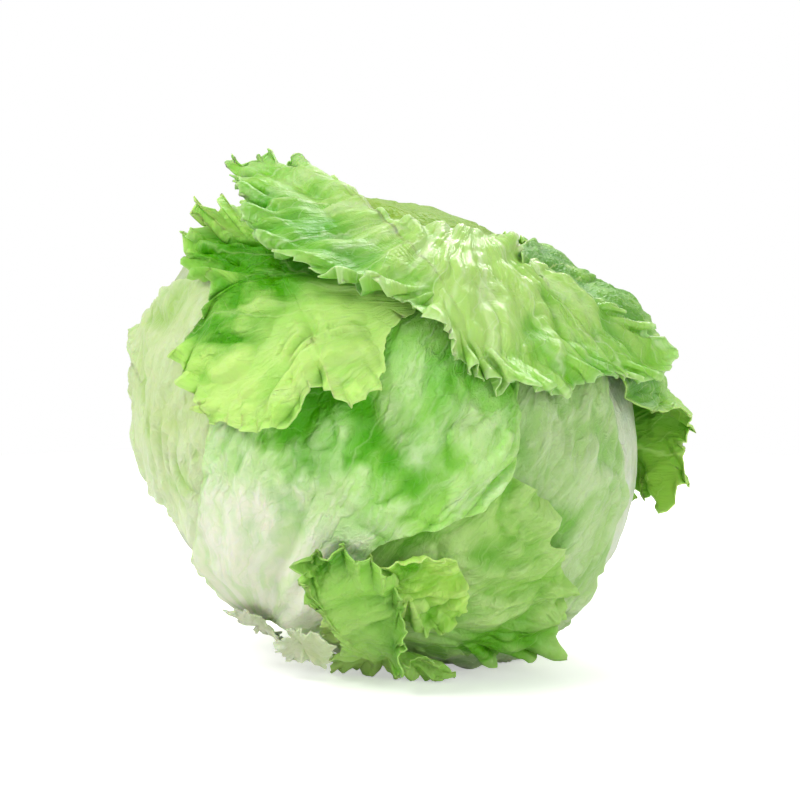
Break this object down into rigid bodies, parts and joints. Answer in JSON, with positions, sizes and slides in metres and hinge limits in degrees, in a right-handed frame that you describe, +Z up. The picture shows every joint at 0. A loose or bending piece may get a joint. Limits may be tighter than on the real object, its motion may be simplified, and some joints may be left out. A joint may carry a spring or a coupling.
{
  "type": "iceberg lettuce",
  "caption": "Dense round head of iceberg lettuce lying on its side, with pale wrapper leaves and loose green frilly outer leaves.",
  "frame": {"origin": "point of the surface that the head rests on, straight below the middle of the ball", "axes": "+Z up with the head lying on its side; -Y is the side with the open outer leaves, and the stem points to -X and down"},
  "size_m": [0.1818, 0.1784, 0.1605],
  "materials": {
    "heart": "fresh yellow-green leaf, slightly waxy",
    "stem": "moist white cut stem",
    "crown_leaf": "fresh yellow-green leaf, slightly waxy",
    "left_inner_leaf": "fresh whitish green leaf, slightly waxy",
    "right_inner_leaf": "fresh whitish green leaf, slightly waxy",
    "left_wrapper": "fresh whitish green leaf, slightly waxy",
    "right_wrapper": "fresh pale green leaf, slightly waxy",
    "back_right_leaf": "fresh deep green leaf, slightly waxy",
    "front_leaf": "fresh pale green leaf with white ribs, slightly waxy",
    "lower_right_leaf": "fresh pale green leaf, slightly waxy",
    "lower_curl": "fresh pale green leaf, slightly waxy",
    "lower_left_leaf": "fresh green leaf, slightly waxy",
    "torn_base_left": "torn whitish leaf base",
    "torn_base_right": "torn whitish leaf base",
    "lip_leaf": "fresh green leaf, slightly waxy",
    "top_leaf": "fresh green leaf, slightly waxy",
    "back_outer_leaf": "fresh green leaf, slightly waxy"
  },
  "bodies": {
    "root": {"heart": "heart", "stem": "stem", "crown_leaf": "crown_leaf", "left_inner_leaf": "left_inner_leaf", "right_inner_leaf": "right_inner_leaf", "left_wrapper": "left_wrapper", "right_wrapper": "right_wrapper", "back_right_leaf": "back_right_leaf", "front_leaf": "front_leaf", "lower_right_leaf": "lower_right_leaf", "lower_curl": "lower_curl", "lower_left_leaf": "lower_left_leaf", "torn_base_left": "torn_base_left", "torn_base_right": "torn_base_right", "lip_leaf": "lip_leaf", "top_leaf": "top_leaf", "back_outer_leaf": "back_outer_leaf"}
  },
  "joints": []
}
